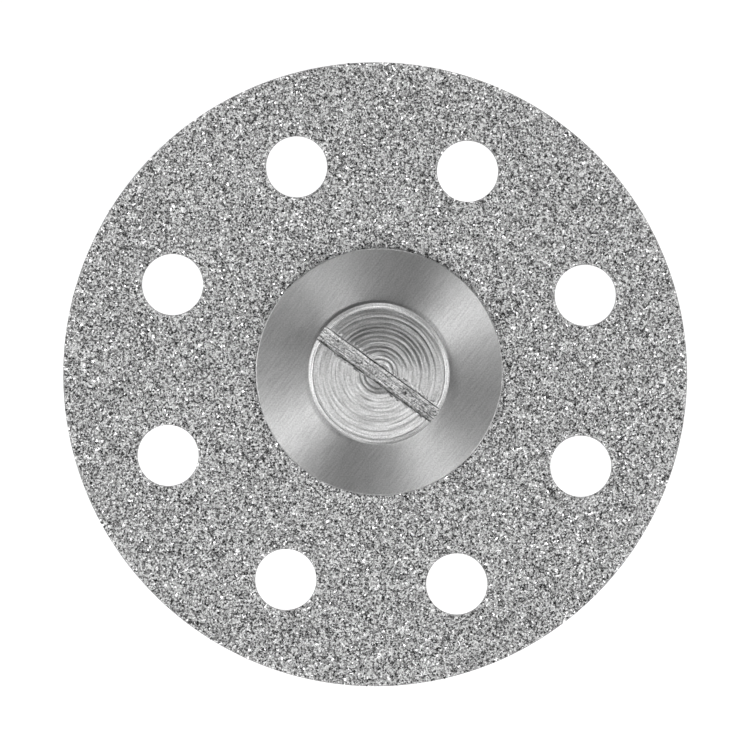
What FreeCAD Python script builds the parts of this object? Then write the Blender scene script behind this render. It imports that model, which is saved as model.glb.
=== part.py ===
import FreeCAD, Part
import math
import os

# A single-sided diamond disc on its screw mandrel, in millimetres.
# +Z runs along the spindle and out of the coated face. The origin is the centre of the shank's free end.

# Mandrel: one turned piece, gripped by the handpiece at its shank
shank_diameter = 2.35  # the straight-handpiece size
shank_length = 39.5  # straight stretch, from the free end to the cone
shank_end_chamfer = 0.2
cone_length = 2.2  # widens the shank to the collar
cone_root_fillet = 1.2  # softens the corner where the cone leaves the shank
collar_diameter = 5.0
collar_height = 1.2
collar_edge_break = 0.1
tapped_depth = 3.4  # full-width depth of the screw's hole in the mandrel
drill_point_angle = 118.0  # of the cone that the drill leaves under the hole
thread_clearance = 0.02  # on the radius, between the screw's stem and its hole

# Washers: one behind the disc and its twin in front, turned over
washer_diameter = 8.7
washer_thickness = 0.4
washer_edge_chamfer = 0.04  # on the face that looks away from the disc
washer_clearance = 0.077  # on the radius, between a washer's bore and the screw's stem

# Disc: a spring-steel blank, and the grit plated on its front face
disc_diameter = 22.0
blank_thickness = 0.20
coat_thickness = 0.08
coat_margin = 0.4  # bare ring that the mask leaves round the bore, under the front washer
disc_clearance = 0.114  # on the radius, between the disc's bore and the screw's stem
perforation_count = 8
perforation_diameter = 2.15
perforation_circle = 15.75  # diameter of the circle through their centres
first_perforation_angle = 21.0

# Clamp screw: a slotted cheese head on a plain stem, whose fine thread is left out
stem_diameter = 1.6
stem_reach = 2.8  # how far the stem goes down into the mandrel
stem_tip_chamfer = 0.2
head_diameter = 5.0
head_height = 0.5
head_chamfer = 0.2
slot_width = 0.6
slot_depth = 0.25
slot_angle = -36.0  # about the spindle, from +X
slot_runout = 1.0  # how far the slot's cutter passes the head

# How the clamped pieces lie: each slid sideways in its play before the screw was tightened
slide_share = 0.85  # how much of its play a piece has slid
disc_slide_angle = 216.0
front_washer_slide_angle = 77.0
rim_runout = 0.067  # the rim was blanked this far off the bore
rim_runout_angle = 144.7

# Heights of the stack, each seat on the one below
collar_bottom = shank_length + cone_length
collar_top = collar_bottom + collar_height
blank_bottom = collar_top + washer_thickness
coat_bottom = blank_bottom + blank_thickness
front_washer_bottom = coat_bottom + coat_thickness
head_bottom = front_washer_bottom + washer_thickness
head_top = head_bottom + head_height

washer_bore = stem_diameter + 2 * washer_clearance
disc_bore = stem_diameter + 2 * disc_clearance

spindle = FreeCAD.Vector(0, 0, 1)


def polar(distance, degrees, height=0.0):
    """The point at this distance and direction from the spindle."""
    turn = math.radians(degrees)
    return FreeCAD.Vector(distance * math.cos(turn), distance * math.sin(turn), height)


def turned(profile):
    """The solid that a closed (radius, height) outline makes as it turns on the spindle."""
    corners = [FreeCAD.Vector(radius, 0, height) for radius, height in profile]
    outline = Part.makePolygon(corners + corners[:1])
    return Part.Face(outline).revolve(FreeCAD.Vector(0, 0, 0), spindle, 360)


def drum(diameter, bottom, height, centre=FreeCAD.Vector(0, 0, 0)):
    """A round slab that stands on the height given by bottom."""
    seat = centre + spindle * bottom
    return Part.makeCylinder(diameter / 2, height, seat, spindle)


def circles_at(solid, height):
    """The edges of a solid that lie flat at one height."""
    edges = []
    for edge in solid.Edges:
        box = edge.BoundBox
        if abs(box.ZMin - height) < 1e-6 and abs(box.ZMax - height) < 1e-6:
            edges.append(edge)
    return edges


def make_mandrel():
    """Shank, cone and collar, with the screw's blind hole down the middle."""
    shank = shank_diameter / 2
    collar = collar_diameter / 2
    body = turned([
        (0, 0),
        (shank - shank_end_chamfer, 0),
        (shank, shank_end_chamfer),
        (shank, shank_length),
        (collar, collar_bottom),
        (collar, collar_top - collar_edge_break),
        (collar - collar_edge_break, collar_top),
        (0, collar_top),
    ])
    body = body.makeFillet(cone_root_fillet, circles_at(body, shank_length))

    hole = stem_diameter / 2 + thread_clearance
    hole_bottom = collar_top - tapped_depth
    point = hole / math.tan(math.radians(drill_point_angle / 2))
    drilled = turned([
        (0, hole_bottom - point),
        (hole, hole_bottom),
        (hole, collar_top),
        (0, collar_top),
    ])
    return body.cut(drilled)


def make_washer():
    """A flat ring that stands at height zero, with the outer edge of its upper face broken."""
    outer = washer_diameter / 2
    bore = washer_bore / 2
    return turned([
        (bore, 0),
        (outer, 0),
        (outer, washer_thickness - washer_edge_chamfer),
        (outer - washer_edge_chamfer, washer_thickness),
        (bore, washer_thickness),
    ])


def make_rear_washer():
    """The washer turned over, so that its plain face backs the disc."""
    washer = make_washer()
    washer.rotate(FreeCAD.Vector(0, 0, 0), FreeCAD.Vector(1, 0, 0), 180)
    washer.translate(spindle * blank_bottom)
    return washer


def make_front_washer():
    """The washer on the coated face, where it slid in its play."""
    washer = make_washer()
    washer.translate(polar(washer_clearance * slide_share, front_washer_slide_angle, front_washer_bottom))
    return washer


def make_pierced_disc(bottom, thickness, bore_diameter):
    """One layer of the disc: its rim, its bore and the ring of perforations."""
    bore_centre = polar(disc_clearance * slide_share, disc_slide_angle)
    rim_centre = bore_centre + polar(rim_runout, rim_runout_angle)
    layer = drum(disc_diameter, bottom, thickness, rim_centre)
    cutters = [drum(bore_diameter, bottom, thickness, bore_centre)]
    for number in range(perforation_count):
        angle = first_perforation_angle + number * 360 / perforation_count
        hole_centre = bore_centre + polar(perforation_circle / 2, angle)
        cutters.append(drum(perforation_diameter, bottom, thickness, hole_centre))
    return layer.cut(cutters)


def make_screw():
    """Head and stem turned in one, with the slot milled across the head."""
    stem = stem_diameter / 2
    head = head_diameter / 2
    tip = collar_top - stem_reach
    blank = turned([
        (0, tip),
        (stem - stem_tip_chamfer, tip),
        (stem, tip + stem_tip_chamfer),
        (stem, head_bottom),
        (head, head_bottom),
        (head, head_top - head_chamfer),
        (head - head_chamfer, head_top),
        (0, head_top),
    ])
    slot_length = head_diameter + 2 * slot_runout
    corner = FreeCAD.Vector(-slot_length / 2, -slot_width / 2, head_top - slot_depth)
    cutter = Part.makeBox(slot_length, slot_width, slot_depth, corner)
    cutter.rotate(FreeCAD.Vector(0, 0, 0), spindle, slot_angle)
    return blank.cut(cutter)


pieces = {
    "mandrel": make_mandrel(),
    "rear_washer": make_rear_washer(),
    "disc_blank": make_pierced_disc(blank_bottom, blank_thickness, disc_bore),
    "diamond_coat": make_pierced_disc(coat_bottom, coat_thickness, disc_bore + 2 * coat_margin),
    "front_washer": make_front_washer(),
    "clamp_screw": make_screw(),
}

os.makedirs("parts", exist_ok=True)
for name, piece in pieces.items():
    piece.exportStep(f"parts/{name}.step")
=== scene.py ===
import math
import bmesh
import bpy
import numpy as np
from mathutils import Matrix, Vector, noise


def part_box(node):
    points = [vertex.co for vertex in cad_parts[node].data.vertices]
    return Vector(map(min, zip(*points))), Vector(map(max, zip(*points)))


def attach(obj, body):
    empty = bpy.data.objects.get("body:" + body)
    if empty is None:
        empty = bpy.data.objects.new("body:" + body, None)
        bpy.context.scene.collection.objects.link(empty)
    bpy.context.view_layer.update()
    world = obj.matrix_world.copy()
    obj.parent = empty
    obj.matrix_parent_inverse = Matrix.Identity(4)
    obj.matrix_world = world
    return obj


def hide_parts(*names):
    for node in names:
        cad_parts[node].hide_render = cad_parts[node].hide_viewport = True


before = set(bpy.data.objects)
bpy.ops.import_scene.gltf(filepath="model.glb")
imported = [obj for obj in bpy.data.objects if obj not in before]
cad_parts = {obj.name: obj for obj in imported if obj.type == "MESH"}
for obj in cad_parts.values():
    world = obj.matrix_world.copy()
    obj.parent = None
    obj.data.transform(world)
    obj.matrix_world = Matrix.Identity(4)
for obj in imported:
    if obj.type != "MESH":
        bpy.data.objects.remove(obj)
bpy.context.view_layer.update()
mm = 0.001

# Mandrel: one hardened steel turning. The shank is ground to the handpiece's size, a cone widens it to
# the collar that backs the washers, and a hole down from the collar is tapped for the clamp screw.
shank_radius = 1.175 * mm
shank_end_chamfer = 0.2 * mm
cone_length = 2.2 * mm
cone_root_fillet = 1.2 * mm
collar_height = 1.2 * mm
collar_edge_break = 0.1 * mm
tapped_radius = 0.82 * mm
tapped_depth = 3.4 * mm
drill_point = math.radians(118)
edge_round = 0.02 * mm  # what deburring leaves on every turned corner
lathe_segments = 192
on_spindle = 1e-9  # a radius under this is on the spindle
most_of_a_noise = (0.3, 0.7)  # nearly all values of a noise lie between these


def rounded(corners, arc_steps=5):
    """An outline of (radius, height) points, with each corner softened by its own third number."""
    outline = [Vector(corners[0][:2])]
    for before, corner, after in zip(corners, corners[1:], corners[2:]):
        here = Vector(corner[:2])
        back = (Vector(before[:2]) - here).normalized()
        ahead = (Vector(after[:2]) - here).normalized()
        half = back.angle(ahead) / 2
        if corner[2] == 0 or half > math.pi / 2 - 0.01:
            outline.append(here)
            continue
        centre = here + (back + ahead).normalized() * corner[2] / math.sin(half)
        start = here + back * corner[2] / math.tan(half) - centre
        sweep = start.angle_signed(here + ahead * corner[2] / math.tan(half) - centre)
        for step in range(arc_steps + 1):
            turn = -sweep * step / arc_steps
            cos, sin = math.cos(turn), math.sin(turn)
            arm = Vector((start.x * cos - start.y * sin, start.x * sin + start.y * cos))
            outline.append(centre + arm)
    outline.append(Vector(corners[-1][:2]))
    return outline


def turned(name, outline, centre=(0, 0), ring=False, segments=lathe_segments):
    """A piece made by turning an outline about the spindle; a ring's outline closes on itself."""
    angles = np.arange(segments) * 2 * math.pi / segments
    rows, points, faces = [], [], []
    for radius, height in outline:
        rows.append(len(points))
        for a in angles if radius > on_spindle else angles[:1]:
            points.append((centre[0] + radius * math.cos(a), centre[1] + radius * math.sin(a), height))
    lengths = [segments if radius > on_spindle else 1 for radius, _ in outline]
    count = len(rows)
    for low in range(count if ring else count - 1):
        high = (low + 1) % count
        for here in range(segments):
            beyond = (here + 1) % segments
            face = [
                rows[low] + here % lengths[low],
                rows[low] + beyond % lengths[low],
                rows[high] + beyond % lengths[high],
                rows[high] + here % lengths[high],
            ]
            if len(set(face)) > 2:
                faces.append(list(dict.fromkeys(face)))
    mesh = bpy.data.meshes.new(name)
    mesh.from_pydata(points, [], faces)
    piece = bpy.data.objects.new(name, mesh)
    bpy.context.scene.collection.objects.link(piece)
    return piece


def finished(piece, material, crease=30):
    """Smooths a piece's round faces up to a crease angle and gives it its material."""
    piece.data.shade_smooth()
    piece.data.set_sharp_from_angle(angle=math.radians(crease))
    piece.data.materials.append(material)
    return piece


def steel(name, shade, roughness, drawn_out):
    """Bare steel. Its sheen is drawn out across the marks that run round the spindle."""
    material = bpy.data.materials.new(name)
    material.use_nodes = True
    nodes, links = material.node_tree.nodes, material.node_tree.links
    shader = nodes["Principled BSDF"]
    shader.inputs["Base Color"].default_value = (shade, shade, shade, 1)
    shader.inputs["Metallic"].default_value = 1
    shader.inputs["Roughness"].default_value = roughness
    shader.inputs["Anisotropic"].default_value = drawn_out
    shader.inputs["Anisotropic Rotation"].default_value = 0.25  # a quarter turn, across the marks
    tangent = nodes.new("ShaderNodeTangent")
    tangent.direction_type = "RADIAL"
    tangent.axis = "Z"
    links.new(tangent.outputs["Tangent"], shader.inputs["Tangent"])
    return material


def marks(material, grain, turn=0.0, detail=3.0):
    """A noise drawn out into marks: grain is one's size along x, y and z, and turn leans them."""
    nodes, links = material.node_tree.nodes, material.node_tree.links
    place = nodes.new("ShaderNodeTexCoord")
    lay = nodes.new("ShaderNodeMapping")
    lay.vector_type = "TEXTURE"
    lay.inputs["Rotation"].default_value = (0, 0, turn)
    lay.inputs["Scale"].default_value = grain
    cloud = nodes.new("ShaderNodeTexNoise")
    cloud.inputs["Scale"].default_value = 1
    cloud.inputs["Detail"].default_value = detail
    links.new(place.outputs["Object"], lay.inputs["Vector"])
    links.new(lay.outputs["Vector"], cloud.inputs["Vector"])
    return cloud.outputs["Fac"]


def tool_rings(material, pitch, fading=2.0, detail=4.0):
    """The fine rings that a lathe tool leaves round the spindle, each fading in and out as it goes round."""
    nodes, links = material.node_tree.nodes, material.node_tree.links
    place = nodes.new("ShaderNodeTexCoord")
    flat = nodes.new("ShaderNodeVectorMath")
    flat.operation = "MULTIPLY"
    flat.inputs[1].default_value = (1 / pitch, 1 / pitch, 0)
    radius = nodes.new("ShaderNodeVectorMath")
    radius.operation = "LENGTH"
    bearing = nodes.new("ShaderNodeVectorMath")
    bearing.operation = "NORMALIZE"
    slow = nodes.new("ShaderNodeVectorMath")
    slow.operation = "SCALE"
    slow.inputs["Scale"].default_value = fading
    both = nodes.new("ShaderNodeVectorMath")
    both.operation = "ADD"
    climb = nodes.new("ShaderNodeCombineXYZ")
    cloud = nodes.new("ShaderNodeTexNoise")
    cloud.inputs["Scale"].default_value = 1
    cloud.inputs["Detail"].default_value = detail
    links.new(place.outputs["Object"], flat.inputs[0])
    links.new(flat.outputs["Vector"], radius.inputs[0])
    links.new(flat.outputs["Vector"], bearing.inputs[0])
    links.new(bearing.outputs["Vector"], slow.inputs[0])
    links.new(radius.outputs["Value"], climb.inputs["Z"])
    links.new(slow.outputs["Vector"], both.inputs[0])
    links.new(climb.outputs["Vector"], both.inputs[1])
    links.new(both.outputs["Vector"], cloud.inputs["Vector"])
    return cloud.outputs["Fac"]


def cut_in(material, pattern, depth):
    """Cuts a pattern into a material's surface, this deep, over any cut in before it."""
    nodes, links = material.node_tree.nodes, material.node_tree.links
    normal = nodes["Principled BSDF"].inputs["Normal"]
    bump = nodes.new("ShaderNodeBump")
    bump.inputs["Distance"].default_value = depth
    if normal.is_linked:
        links.new(normal.links[0].from_socket, bump.inputs["Normal"])
    links.new(pattern, bump.inputs["Height"])
    links.new(bump.outputs["Normal"], normal)


def shaded_by(material, socket, pattern, low, high):
    """Lets a pattern swing one of a material's values between two levels."""
    nodes, links = material.node_tree.nodes, material.node_tree.links
    swing = nodes.new("ShaderNodeMapRange")
    swing.inputs["From Min"].default_value = most_of_a_noise[0]
    swing.inputs["From Max"].default_value = most_of_a_noise[1]
    swing.inputs["To Min"].default_value = low
    swing.inputs["To Max"].default_value = high
    links.new(pattern, swing.inputs["Value"])
    links.new(swing.outputs["Result"], nodes["Principled BSDF"].inputs[socket])


mandrel_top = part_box("mandrel")[1].z
collar_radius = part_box("mandrel")[1].x
cone_top = mandrel_top - collar_height
mandrel = turned("mandrel_turned", rounded([
    (0, 0, 0),
    (shank_radius - shank_end_chamfer, 0, edge_round),
    (shank_radius, shank_end_chamfer, edge_round),
    (shank_radius, cone_top - cone_length, cone_root_fillet),
    (collar_radius, cone_top, edge_round),
    (collar_radius, mandrel_top - collar_edge_break, edge_round),
    (collar_radius - collar_edge_break, mandrel_top, edge_round),
    (tapped_radius, mandrel_top, 0),
    (tapped_radius, mandrel_top - tapped_depth, 0),
    (0, mandrel_top - tapped_depth - tapped_radius / math.tan(drill_point / 2), 0),
], arc_steps=8))
ground_steel = steel("ground_mandrel_steel", shade=0.32, roughness=0.34, drawn_out=0.7)
grinding = marks(ground_steel, grain=(1.5 * mm, 1.5 * mm, 0.012 * mm))
handling = marks(ground_steel, grain=(0.9 * mm, 0.9 * mm, 0.3 * mm))
shaded_by(ground_steel, "Base Color", grinding, low=0.27, high=0.37)
shaded_by(ground_steel, "Roughness", handling, low=0.28, high=0.42)
cut_in(ground_steel, grinding, depth=0.0012 * mm)
finished(mandrel, ground_steel)
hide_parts("mandrel")
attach(mandrel, "root")

# Washers: two alike, faced and parted off from steel bar, with the outer edge just broken by a touch of
# the file. One backs the disc on the collar, and its twin presses on the grit under the screw's head.
washer_bore_radius = 0.877 * mm
washer_edge_round = 0.05 * mm
rubbed = math.radians(52)  # how the straight rubbing marks lean in the photograph


def washer(name, node, faces_up):
    """A washer in a CAD node's place, with its softened edge on the face that looks away from the disc."""
    low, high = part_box(node)
    outer = (high.x - low.x) / 2
    outline = rounded([
        (washer_bore_radius, 0, 0),
        (outer, 0, edge_round),
        (outer, high.z - low.z, washer_edge_round),
        (washer_bore_radius, high.z - low.z, 0),
    ], arc_steps=8)
    if faces_up:
        outline = [(radius, low.z + height) for radius, height in outline]
    else:
        outline = [(radius, high.z - height) for radius, height in reversed(outline)]
    return turned(name, outline, ((low.x + high.x) / 2, (low.y + high.y) / 2), ring=True)


def averaged(material, *patterns):
    """Lays several patterns over one another."""
    nodes, links = material.node_tree.nodes, material.node_tree.links
    total = patterns[0]
    for pattern in patterns[1:]:
        both = nodes.new("ShaderNodeMath")
        both.operation = "ADD"
        links.new(total, both.inputs[0])
        links.new(pattern, both.inputs[1])
        total = both.outputs["Value"]
    share = nodes.new("ShaderNodeMath")
    share.operation = "DIVIDE"
    share.inputs[1].default_value = len(patterns)
    links.new(total, share.inputs[0])
    return share.outputs["Value"]


def faced_steel(name):
    """Fine facing rings under long straight rubbing marks."""
    faced = steel(name, shade=0.42, roughness=0.40, drawn_out=0.876)
    streaks = marks(faced, grain=(0.7 * mm, 0.06 * mm, 1), turn=rubbed, detail=1)
    speckle = marks(faced, grain=(0.05 * mm, 0.05 * mm, 1), detail=0)
    scratches = marks(faced, grain=(0.9 * mm, 0.07 * mm, 1), turn=rubbed, detail=1)
    shaded_by(faced, "Base Color", averaged(faced, streaks, speckle), low=0.34, high=0.50)
    cut_in(faced, tool_rings(faced, pitch=0.03 * mm), depth=0.0002 * mm)
    cut_in(faced, scratches, depth=0.0022 * mm)
    return faced


washer_steel = faced_steel("faced_washer_steel")
rear_washer = finished(washer("rear_washer_turned", "rear_washer", faces_up=False), washer_steel)
front_washer = finished(washer("front_washer_turned", "front_washer", faces_up=True), washer_steel)
for piece, node in ((rear_washer, "rear_washer"), (front_washer, "front_washer")):
    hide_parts(node)
    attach(piece, "root")

# Disc blank: spring steel sheet, blanked round and pierced with eight holes that let air, water and
# sight through. Its back stays bare, with the straight grain of the rolled sheet.
perforation_count = 8
perforation_radius = 1.075 * mm
perforation_circle = 7.875 * mm  # its radius
first_perforation = math.radians(21)
rim_runout = 0.067 * mm
rim_runout_angle = math.radians(144.7)
disc_bore_radius = 0.914 * mm
rim_segments = 384
hole_segments = 96
rolled = math.radians(17)  # how the sheet's grain lies

disc_low, disc_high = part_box("disc_blank")
rim_radius = (disc_high.x - disc_low.x) / 2
rim_centre = Vector(((disc_low.x + disc_high.x) / 2, (disc_low.y + disc_high.y) / 2))
bore_centre = rim_centre - rim_runout * Vector((math.cos(rim_runout_angle), math.sin(rim_runout_angle)))
perforations = []
for number in range(perforation_count):
    angle = first_perforation + number * 2 * math.pi / perforation_count
    perforations.append(bore_centre + perforation_circle * Vector((math.cos(angle), math.sin(angle))))


def pierced_sheet(name, bottom, top, bore_radius):
    """A flat sheet with the disc's rim, bore and perforations, its edges as sharp as the punch left them."""
    sheet = bmesh.new()
    loops = [(rim_centre, rim_radius, rim_segments), (bore_centre, bore_radius, hole_segments)]
    loops += [(centre, perforation_radius, hole_segments) for centre in perforations]
    for centre, radius, segments in loops:
        ring = []
        for a in np.arange(segments) * 2 * math.pi / segments:
            place = (centre.x + radius * math.cos(a), centre.y + radius * math.sin(a), bottom)
            ring.append(sheet.verts.new(place))
        for here, beyond in zip(ring, ring[1:] + ring[:1]):
            sheet.edges.new((here, beyond))
    bmesh.ops.triangle_fill(sheet, use_beauty=True, edges=sheet.edges[:], normal=(0, 0, -1))
    raised = bmesh.ops.extrude_face_region(sheet, geom=sheet.faces[:])
    corners = [part for part in raised["geom"] if isinstance(part, bmesh.types.BMVert)]
    bmesh.ops.translate(sheet, verts=corners, vec=(0, 0, top - bottom))
    bmesh.ops.recalc_face_normals(sheet, faces=sheet.faces[:])
    mesh = bpy.data.meshes.new(name)
    sheet.to_mesh(mesh)
    sheet.free()
    piece = bpy.data.objects.new(name, mesh)
    bpy.context.scene.collection.objects.link(piece)
    return piece


blank = pierced_sheet("disc_blank_sheet", disc_low.z, disc_high.z, disc_bore_radius)
rolled_steel = steel("rolled_blank_steel", shade=0.46, roughness=0.40, drawn_out=0.0)
rolling = marks(rolled_steel, grain=(2.5 * mm, 0.03 * mm, 1), turn=rolled)
patches = marks(rolled_steel, grain=(3 * mm, 3 * mm, 1), detail=5)
shaded_by(rolled_steel, "Base Color", rolling, low=0.42, high=0.50)
shaded_by(rolled_steel, "Roughness", patches, low=0.34, high=0.48)
cut_in(rolled_steel, rolling, depth=0.001 * mm)
finished(blank, rolled_steel)
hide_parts("disc_blank")
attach(blank, "root")

# Diamond coat: a nickel layer plated on the front of the blank, which holds one packed layer of diamond
# grains by their lower halves. The plater masks the bore, and the washer covers where the coat ends.
coat_bore_radius = 1.314 * mm
coat_low, coat_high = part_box("diamond_coat")
bond = pierced_sheet("nickel_bond", coat_low.z, coat_high.z, coat_bore_radius)
nickel = steel("plated_nickel", shade=0.37, roughness=0.5, drawn_out=0.0)
nodules = marks(nickel, grain=(0.03 * mm, 0.03 * mm, 0.03 * mm))
shaded_by(nickel, "Base Color", nodules, low=0.26, high=0.48)
cut_in(nickel, nodules, depth=0.01 * mm)
finished(bond, nickel)
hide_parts("diamond_coat")
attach(bond, "root")

# Diamond grains: crushed crystals 50 to 90 micrometres across, each its own small block or point at
# its own angle. They lie as close as they packed in the plating bath, up to the washer and every edge.
grain_pitch = 0.056 * mm
grain_jitter = 0.42 * grain_pitch  # how far a grain lies from its place in even rows, at most
grain_size = 0.070 * mm
grain_scale = (0.72, 1.12)  # the smallest and the largest, in grain sizes
grain_stretch = (0.7, 1.25)
grain_height = (-0.16, 0.10)  # of its middle over the nickel's face, in grain sizes
grain_batches = 6  # the layer is kept in this many pieces of mesh
grain_edge_gap = 0.034 * mm
washer_gap = 0.022 * mm  # the washer was pressed up against the grains round it
point_share = 0.78  # grains that are points; the others are blocks
# Painted glints: this share of facets take another grain's grey, which stands in for light glancing off and
# through a crystal.
glint_facet_share = 0.6  # facets that take some other grain's grey
# The facets' greys, how far each mirrors like a facet seen from inside, and its share
grain_shades = [(0.01, 0, 0.38), (0.12, 0, 0.08), (0.45, 0, 0.04), (0.95, 1, 0.10), (1.0, 0, 0.40)]
facet_roughness = 0.14
mirror_roughness = 0.5
diamond_ior = 2.4
point_corners = np.array([(1, 1, 1), (1, -1, -1), (-1, 1, -1), (-1, -1, 1)]) * 0.50
point_facets = [(0, 1, 2), (0, 2, 3), (0, 3, 1), (1, 3, 2)]
block_corners = np.array([(x, y, z) for z in (-1, 1) for y in (-1, 1) for x in (-1, 1)]) * 0.36
block_facets = [(0, 2, 3, 1), (4, 5, 7, 6), (0, 1, 5, 4), (1, 3, 7, 5), (3, 2, 6, 7), (2, 0, 4, 6)]

washer_low, washer_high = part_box("front_washer")
washer_centre = np.array([(washer_low.x + washer_high.x) / 2, (washer_low.y + washer_high.y) / 2])
washer_radius = (washer_high.x - washer_low.x) / 2

chance = np.random.default_rng(22)
rows = np.arange(-rim_radius, rim_radius, grain_pitch * math.sqrt(3) / 2)
spots = []
for number, y in enumerate(rows):
    x = np.arange(-rim_radius, rim_radius, grain_pitch) + (number % 2) * grain_pitch / 2
    spots.append(np.column_stack([x, np.full(len(x), y)]))
spots = np.vstack(spots) + np.array(rim_centre)
spots += chance.uniform(-1, 1, spots.shape) * grain_jitter
kept = np.hypot(*(spots - np.array(rim_centre)).T) < rim_radius - grain_edge_gap
kept &= np.hypot(*(spots - washer_centre).T) > washer_radius + washer_gap
for centre in perforations:
    kept &= np.hypot(*(spots - np.array(centre)).T) > perforation_radius + grain_edge_gap
spots = spots[kept]


def spun(count):
    """Random turns, evenly over all directions, as matrices."""
    q = chance.normal(size=(count, 4))
    w, x, y, z = (q / np.linalg.norm(q, axis=1)[:, None]).T
    return np.stack([
        1 - 2 * (y * y + z * z), 2 * (x * y - z * w), 2 * (x * z + y * w),
        2 * (x * y + z * w), 1 - 2 * (x * x + z * z), 2 * (y * z - x * w),
        2 * (x * z - y * w), 2 * (y * z + x * w), 1 - 2 * (x * x + y * y),
    ], axis=1).reshape(count, 3, 3)


def crystals(shape, facets, places, shades):
    """Corners, facets and facet shades for one crystal shape at many places. A share of the facets take
    another grain's grey as painted glints.
    """
    count = len(places)
    stretch = chance.uniform(*grain_stretch, (count, 1, 3))
    size = grain_size * chance.uniform(*grain_scale, (count, 1, 1))
    corners = np.einsum("nij,nkj->nki", spun(count), shape[None] * stretch) * size
    raised = chance.uniform(*grain_height, count) * grain_size
    corners += np.column_stack([places, coat_high.z + raised])[:, None, :]
    numbers = np.arange(count)[:, None, None] * len(shape) + np.array(facets)[None]
    facet_shades = np.repeat(shades, len(facets))
    # Painted glints: a share of the facets swap greys, in place of the light that glances off and through
    # each crystal.
    glinting = chance.random(len(facet_shades)) < glint_facet_share
    facet_shades[glinting] = chance.permutation(facet_shades[glinting])
    return corners.reshape(-1, 3), numbers.reshape(-1, len(facets[0])), facet_shades


grain_materials = []
for number, (shade, mirror, share) in enumerate(grain_shades):
    material = bpy.data.materials.new(f"diamond_shade_{number}")
    material.use_nodes = True
    shader = material.node_tree.nodes["Principled BSDF"]
    shader.inputs["Base Color"].default_value = (shade, shade, shade, 1)
    shader.inputs["Metallic"].default_value = mirror
    shader.inputs["Roughness"].default_value = mirror_roughness if mirror else facet_roughness
    shader.inputs["IOR"].default_value = diamond_ior
    grain_materials.append(material)

shares = np.array([share for _, _, share in grain_shades])
for batch in range(grain_batches):
    mine = spots[batch::grain_batches]
    shades = chance.choice(len(grain_shades), len(mine), p=shares / shares.sum())
    is_point = chance.random(len(mine)) < point_share
    points, point_faces, point_greys = crystals(
        point_corners, point_facets, mine[is_point], shades[is_point])
    blocks, block_faces, block_greys = crystals(
        block_corners, block_facets, mine[~is_point], shades[~is_point])
    faces = point_faces.tolist() + (block_faces + len(points)).tolist()
    mesh = bpy.data.meshes.new(f"diamond_grains_{batch + 1}")
    mesh.from_pydata(np.vstack([points, blocks]), [], faces)
    for material in grain_materials:
        mesh.materials.append(material)
    greys = np.concatenate([point_greys, block_greys]).astype(np.int32)
    mesh.polygons.foreach_set("material_index", greys)
    grains = bpy.data.objects.new(mesh.name, mesh)
    bpy.context.scene.collection.objects.link(grains)
    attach(grains, "root")

# Clamp screw: a cheese head and its stem, turned from bar by a coarse tool whose rings were left open.
# The slot was milled across last, which left its lips ragged, and use has scored and dented its floor.
head_segments = 256
head_chamfer = 0.2 * mm
# The chamfer's corners, in from the side and down from the face as shares of it, each with its rounding
chamfer_corners = [
    (0, 1, edge_round),
    (0.10, 0.80, edge_round),
    (0.46, 0.32, edge_round / 2),
    (0.56, 0.30, edge_round / 2),
    (0.82, 0, edge_round / 4),
    (0.94, 0.10, 0),
]
chamfer_share = 0.99  # the tool's rings lie inside this share of the chamfer
stem_radius = 0.8 * mm
stem_tip_chamfer = 0.2 * mm
groove_radii_mm = (0.19, 0.36, 0.53, 0.69, 0.81, 0.95, 1.16, 1.30, 1.48, 1.62, 1.79, 1.96, 2.12, 2.24)
groove_lean = math.radians(28)  # how much further a groove's long side leans than the land
groove_strength = (0.5, 1.2)  # the faintest and the boldest groove's share of that lean
groove_width = 0.045 * mm
groove_reach = 1.2 * groove_width  # from a groove's middle to the wall behind it
groove_wall = 0.002 * mm  # the width of that wall
faint_from = 1.9 * mm  # the outermost grooves are fainter
faint_share = 0.6
land_lean = math.radians(6)
land_waver = math.radians(4)
land_step = 0.002 * mm  # how far a land lies under its neighbour, at most
crown_radius = 0.72 * mm  # inside this the grooves lean to the middle, outside it to the rim
crown_fall = 0.030 * mm
crown_curve = 1.5
middle_share = 0.8  # of that fall, at the middle
face_step = 0.010 * mm
deep_bearing = math.radians(82)  # on this side the tool cut deeper, and opposite it hardly at all
deep_onset = 2  # how quickly the deep side sets in as the bearing nears it
deep_start = 0.4
deep_cut = 1.6
shallow_cut = 0.4
cut_waver = 0.5
waver_round, waver_outward = 1.3, 6  # its waves round the head and in a millimetre outward
slot_angle = math.radians(-36)
# The slot's section in mm across and down, from its lower-left lip to its upper-right one
slot_left = [(-0.46, 0.10), (-0.390, 0.0), (-0.335, -0.014), (-0.318, -0.035), (-0.308, -0.235),
             (-0.292, -0.258), (-0.250, -0.254), (-0.170, -0.236)]
slot_right = [(0.145, -0.243), (0.228, -0.224), (0.250, -0.198), (0.268, -0.034),
              (0.300, -0.024), (0.350, -0.012), (0.385, 0.0), (0.48, 0.10)]
slot_floor = np.linspace(-0.150, 0.130, 26)
slot_floor_depth = -0.245
# Dents in that floor, in mm: along the slot, across it, radius and depth
dents = [(1.125, 0.046, 0.065, 0.030), (0.32, -0.15, 0.05, 0.022), (0.52, -0.10, 0.04, -0.010),
         (1.62, -0.08, 0.07, -0.014), (1.95, 0.02, 0.08, 0.012), (-1.80, 0.06, 0.07, -0.012)]
dent_ring = (0.5, 1.5, 5)  # the ring thrown up round one: its share of the depth, its place and sharpness
# Waves in the floor: height in mm, waves in a millimetre along and across, and a seed
floor_waves = [(0.010, 0.9, 30, 3.0), (0.012, 8, 12, 8.0)]
lip_depth = -0.1  # in mm; the section's corners over this are the lips'
upper_lip = 0.28  # in mm across; the upper lip is beyond this
slot_runout = 1.08  # how far the slot's cutter passes the head, in head radii

screw_low, screw_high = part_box("clamp_screw")
head_radius = (screw_high.x - screw_low.x) / 2
head_top = screw_high.z
head_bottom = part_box("front_washer")[1].z
dice = np.random.default_rng(5)


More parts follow.
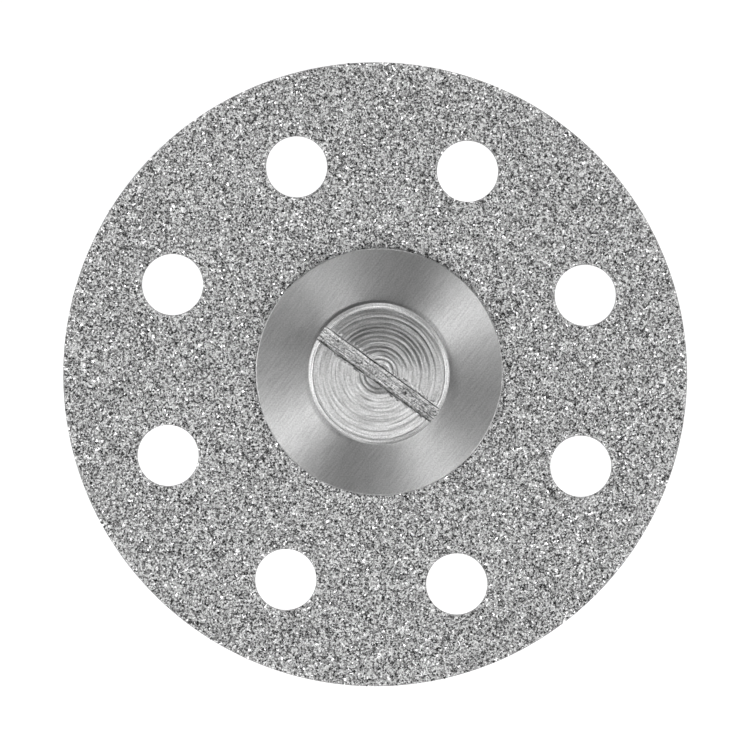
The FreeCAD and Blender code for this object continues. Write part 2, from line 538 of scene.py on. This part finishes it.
def face_outline():
    """The face from its chamfer in to the middle: leaning lands, each ending in a groove and a wall."""
    edge = head_radius - head_chamfer
    grooves = [radius * mm for radius in groove_radii_mm]
    walls = [radius - groove_reach for radius in grooves if radius < crown_radius]
    walls += [crown_radius]
    walls += [radius + groove_reach for radius in grooves if radius > crown_radius]
    bounds = np.array(walls + [edge])
    radii = np.concatenate([np.arange(0, edge, face_step), bounds, bounds - groove_wall])
    radii = np.unique(np.round(radii, 9))
    waver = np.convolve(dice.normal(0, 1, len(radii)), np.ones(4) / 2, "same")
    lean = land_lean + land_waver * waver
    for radius in grooves:
        share = 1 if radius < faint_from else faint_share
        band = np.exp(-((radii - radius) / groove_width) ** 2)
        lean += groove_lean * dice.uniform(*groove_strength) * band * share
    fall = np.cumsum(np.tan(lean) * np.diff(radii, prepend=0))
    height = np.zeros(len(radii))
    for start, end in zip([0.0] + walls, walls + [edge + face_step]):
        land = (radii > start - on_spindle) & (radii < end - on_spindle)
        drop = fall[land] - fall[land][0]
        height[land] = drop - drop[-1] if end <= crown_radius else -drop
        height[land] -= dice.uniform(0, land_step)
    inside = radii < crown_radius
    away = np.where(inside, 1 - radii / crown_radius, (radii - crown_radius) / (edge - crown_radius))
    height -= crown_fall * np.where(inside, middle_share * away, away ** crown_curve)
    return [Vector((radius, head_top + drop)) for radius, drop in zip(radii, height)][::-1]


face = face_outline()
chamfer = []
for inward, down, rounding in chamfer_corners:
    chamfer.append((head_radius - head_chamfer * inward, face[0].y - head_chamfer * down, rounding))
screw = turned("clamp_screw_turned", rounded([
    (0, screw_low.z, 0),
    (stem_radius - stem_tip_chamfer, screw_low.z, 0),
    (stem_radius, screw_low.z + stem_tip_chamfer, 0),
    (stem_radius, head_bottom, 0),
    (head_radius, head_bottom, edge_round),
    *chamfer,
    (face[0].x, face[0].y, 0),
])[:-1] + face, segments=head_segments)


def ragged(along, fineness, seed):
    """A value wavering from about -1 to 1 along the slot; fineness is its waves in a millimetre."""
    widest = 1.6  # brings the noise, which stays within about 0.6, to about 1
    return noise.noise(Vector((along / mm * fineness, seed, 0.5))) * widest


def floor_change(s, t):
    """How far the slot's floor lies over or under its even depth, in mm, s along and t mm across."""
    rise = 0.0
    for height, along, across, seed in floor_waves:
        rise += height * noise.noise(Vector((s / mm * along, t * across, seed)))
    share, place, sharpness = dent_ring
    for at, beside, radius, depth in dents:
        far = math.hypot(s / mm - at, t - beside) / radius
        rise -= depth * (math.exp(-far * far) - share * math.exp(-(far - place) ** 2 * sharpness))
    return rise


def slot_cutter():
    """What the milling cutter took out, with the scores, dents and ragged lips that it and use have left."""
    length_steps = 300
    reach = head_radius * slot_runout
    section = slot_left + [(across, slot_floor_depth) for across in slot_floor] + slot_right
    points = []
    for s in np.linspace(-reach, reach, length_steps):
        for number, (t, z) in enumerate(section):
            if len(slot_left) <= number < len(slot_left) + len(slot_floor):
                z += floor_change(s, t)
            elif number == 1:  # the lower lip's outer edge, the most ragged of all
                t += 0.036 * ragged(s, 5, 1.0) + 0.030 * ragged(s, 19, 2.0)
            elif number == 2:
                t += 0.012 * ragged(s, 11, 3.0)
                z += 0.024 * ragged(s, 13, 4.0)
            elif z > lip_depth:
                t += 0.006 * ragged(s, 4, 5.0) + 0.004 * ragged(s, 16, 6.0 + number)
                if t > upper_lip and s > 0:
                    t += 0.030 * ragged(s, 9, 9.0)
                    z += 0.016 * ragged(s, 12, 10.0)
            else:  # the walls' feet
                t += 0.005 * ragged(s, 3, 7.0 + number)
            points.append((s, t * mm, head_top + z * mm))
    width = len(section)
    faces = []
    for row in range(length_steps - 1):
        near, far = row * width, (row + 1) * width
        for column in range(width):
            beside = (column + 1) % width
            faces.append((near + column, near + beside, far + beside, far + column))
    faces.append(tuple(range(width))[::-1])
    faces.append(tuple(range((length_steps - 1) * width, length_steps * width)))
    mesh = bpy.data.meshes.new("slot_cutter")
    mesh.from_pydata(points, [], faces)
    solid = bmesh.new()
    solid.from_mesh(mesh)
    bmesh.ops.recalc_face_normals(solid, faces=solid.faces[:])
    solid.to_mesh(mesh)
    solid.free()
    cutter = bpy.data.objects.new("slot_cutter", mesh)
    cutter.rotation_euler.z = slot_angle
    bpy.context.scene.collection.objects.link(cutter)
    return cutter


# The tool cut unevenly round the face. The slot's lips stand a little proud where its cutter dragged the
# metal up, most of all along the upper one, and one bead of it stayed beside the slot's lower end.
along_slot = Vector((math.cos(slot_angle), math.sin(slot_angle)))
across_slot = Vector((-along_slot.y, along_slot.x))
deep_side = Vector((math.cos(deep_bearing), math.sin(deep_bearing)))
lip_place, lip_width = 0.375, 0.04  # in mm, from the slot's middle
lip_height = 0.016 * mm
lower_lip_share = 0.45
bead_place = Vector((2.13, 0.53))  # in mm, along and across the slot
bead_radius = 0.08
bead_height = 0.03 * mm
for corner in screw.data.vertices:
    if corner.co.z < head_top - 3 * crown_fall:
        continue
    s, t = corner.co.xy.dot(along_slot), corner.co.xy.dot(across_slot)
    radius = corner.co.xy.length
    bearing = corner.co.xy.normalized()
    deep = min(max(bearing.dot(deep_side) * deep_onset - deep_start, 0), 1)
    depth = shallow_cut + (deep_cut - shallow_cut) * deep if radius > crown_radius else 1
    round_head = bearing * waver_round
    depth += cut_waver * noise.noise(Vector((round_head.x, round_head.y, radius / mm * waver_outward)))
    if radius < head_radius - head_chamfer * chamfer_share:
        corner.co.z = head_top - (head_top - corner.co.z) * depth
    lip = math.exp(-((abs(t) / mm - lip_place) / lip_width) ** 2)
    drag = 0.6 + ragged(s, 6, 11.0 if t > 0 else 12.0) + 0.6 * ragged(s, 17, 13.0)
    corner.co.z += lip_height * lip * max(0.0, drag) * (1.0 if t > 0 else lower_lip_share)
    bead = math.hypot(s / mm - bead_place.x, t / mm - bead_place.y) / bead_radius
    corner.co.z += bead_height * math.exp(-bead ** 4)
    corner.co.z = min(corner.co.z, head_top)

turned_steel = steel("turned_screw_steel", shade=0.52, roughness=0.48, drawn_out=0.0)
fine_rings = tool_rings(turned_steel, pitch=0.06 * mm, detail=1)
chatter = tool_rings(turned_steel, pitch=0.08 * mm, detail=1)
speckle = marks(turned_steel, grain=(0.05 * mm, 0.05 * mm, 0.05 * mm), detail=1)
shaded_by(turned_steel, "Base Color", averaged(turned_steel, fine_rings, speckle), low=0.32, high=0.72)
cut_in(turned_steel, chatter, depth=0.018 * mm)
cut_in(turned_steel, speckle, depth=0.004 * mm)
milled_steel = steel("milled_slot_steel", shade=0.34, roughness=0.38, drawn_out=0.0)
scores = marks(milled_steel, grain=(0.5 * mm, 0.05 * mm, 1), turn=slot_angle, detail=1)
pocks = marks(milled_steel, grain=(0.07 * mm, 0.07 * mm, 0.07 * mm), detail=1)
shaded_by(milled_steel, "Base Color", averaged(milled_steel, scores, pocks), low=0.0, high=0.72)
cut_in(milled_steel, scores, depth=0.006 * mm)
cut_in(milled_steel, pocks, depth=0.006 * mm)

cutter = slot_cutter()
cutter.data.materials.append(milled_steel)
finished(screw, turned_steel, crease=60)
cut = screw.modifiers.new("slot", "BOOLEAN")
cut.object = cutter
cut.solver = "EXACT"
cut.material_mode = "TRANSFER"
with bpy.context.temp_override(object=screw, active_object=screw):
    bpy.ops.object.modifier_apply(modifier="slot")
bpy.data.objects.remove(cutter)
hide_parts("clamp_screw")
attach(screw, "root")

# Studio: a pale floor under the shank's end, with soft lamps round a dim sky. The camera looks straight
# down on the disc from far off, as the photograph does.
photo_side = 750
disc_centre_px = (374.64, 373.80)
disc_radius_px = 312.05
camera_height = 350 * mm
sensor_width = 36
sky = 0.15
paper_grey = 0.85
lift_from, lift_to = 0.3, 1.3  # metres out, between which the paper's own light grows
lift_low, lift_high = 0.35, 0.85

metres_per_px = rim_radius / disc_radius_px
camera = bpy.data.objects.new("camera", bpy.data.cameras.new("camera"))
camera.data.sensor_width = sensor_width
camera.data.lens = sensor_width * camera_height / (photo_side * metres_per_px)
camera.data.clip_start, camera.data.clip_end = 0.01, 10
middle_px = (photo_side - 1) / 2
camera.location = (
    rim_centre.x - (disc_centre_px[0] - middle_px) * metres_per_px,
    rim_centre.y + (disc_centre_px[1] - middle_px) * metres_per_px,
    coat_high.z + camera_height,
)
bpy.context.scene.collection.objects.link(camera)
bpy.context.scene.camera = camera

sweep = [(0, 0), (1.10, 0), (1.22, 0.015), (1.32, 0.06), (1.39, 0.14), (1.42, 0.24), (1.42, 0.42)]
floor = turned("floor", sweep[::-1], segments=128)
floor.data.shade_smooth()
paper = bpy.data.materials.new("white_paper")
paper.use_nodes = True
nodes, links = paper.node_tree.nodes, paper.node_tree.links
shader = nodes["Principled BSDF"]
shader.inputs["Base Color"].default_value = (paper_grey, paper_grey, paper_grey, 1)
shader.inputs["Roughness"].default_value = 0.9
shader.inputs["Emission Color"].default_value = (1, 1, 1, 1)
ray = nodes.new("ShaderNodeLightPath")
mirrored = nodes.new("ShaderNodeMath")
mirrored.operation = "MAXIMUM"
links.new(ray.outputs["Is Glossy Ray"], mirrored.inputs[0])
links.new(ray.outputs["Is Transmission Ray"], mirrored.inputs[1])
seen = nodes.new("ShaderNodeMath")
seen.operation = "MAXIMUM"
links.new(ray.outputs["Is Camera Ray"], seen.inputs[0])
links.new(mirrored.outputs["Value"], seen.inputs[1])
place = nodes.new("ShaderNodeTexCoord")
away = nodes.new("ShaderNodeVectorMath")
away.operation = "LENGTH"
links.new(place.outputs["Object"], away.inputs[0])
lift = nodes.new("ShaderNodeMapRange")
lift.inputs["From Min"].default_value = lift_from
lift.inputs["From Max"].default_value = lift_to
lift.inputs["To Min"].default_value = lift_low
lift.inputs["To Max"].default_value = lift_high
links.new(away.outputs["Value"], lift.inputs["Value"])
lifted = nodes.new("ShaderNodeMath")
lifted.operation = "MULTIPLY"
links.new(seen.outputs["Value"], lifted.inputs[0])
links.new(lift.outputs["Result"], lifted.inputs[1])
links.new(lifted.outputs["Value"], shader.inputs["Emission Strength"])
floor.data.materials.append(paper)

world = bpy.data.worlds.new("studio")
world.use_nodes = True
world.node_tree.nodes["Background"].inputs["Color"].default_value = (1, 1, 1, 1)
world.node_tree.nodes["Background"].inputs["Strength"].default_value = sky
bpy.context.scene.world = world

lamp_distance = 0.45
target = Vector((0, 0, coat_high.z))
# Each row of lamps: how far it leans from straight up, a lamp's width and height, and bearings with watts
lamp_rows = [
    ("high", 25, 0.08, 0.08, [(35, 0.261), (212, 0.309), (301, 0.391)]),
    ("middle", 45, 0.16, 0.16, [(180, 0.296), (270, 0.165)]),
    ("low", 68, 0.20, 0.14, [(150, 0.175), (330, 0.546)]),
    ("level", 88, 0.24, 0.07, [(0, 0.460), (30, 0.077), (90, 0.389), (150, 0.311), (180, 0.404),
                               (210, 0.335), (240, 0.155), (270, 0.045)]),
]
for row, lean, wide, tall, places in lamp_rows:
    for azimuth, watts in places:
        name = f"{row}_{azimuth}"
        lamp = bpy.data.objects.new(name, bpy.data.lights.new(name, "AREA"))
        lamp.data.shape = "RECTANGLE"
        lamp.data.size, lamp.data.size_y = wide, tall
        lamp.data.energy = watts
        lamp.visible_camera = False
        around, down = math.radians(azimuth), math.radians(lean)
        way = Vector((math.cos(around) * math.sin(down), math.sin(around) * math.sin(down), math.cos(down)))
        lamp.location = target + way * lamp_distance
        lamp.rotation_mode = "QUATERNION"
        lamp.rotation_quaternion = way.to_track_quat("Z", "Y")
        bpy.context.scene.collection.objects.link(lamp)

bpy.context.scene.view_settings.view_transform = "Standard"
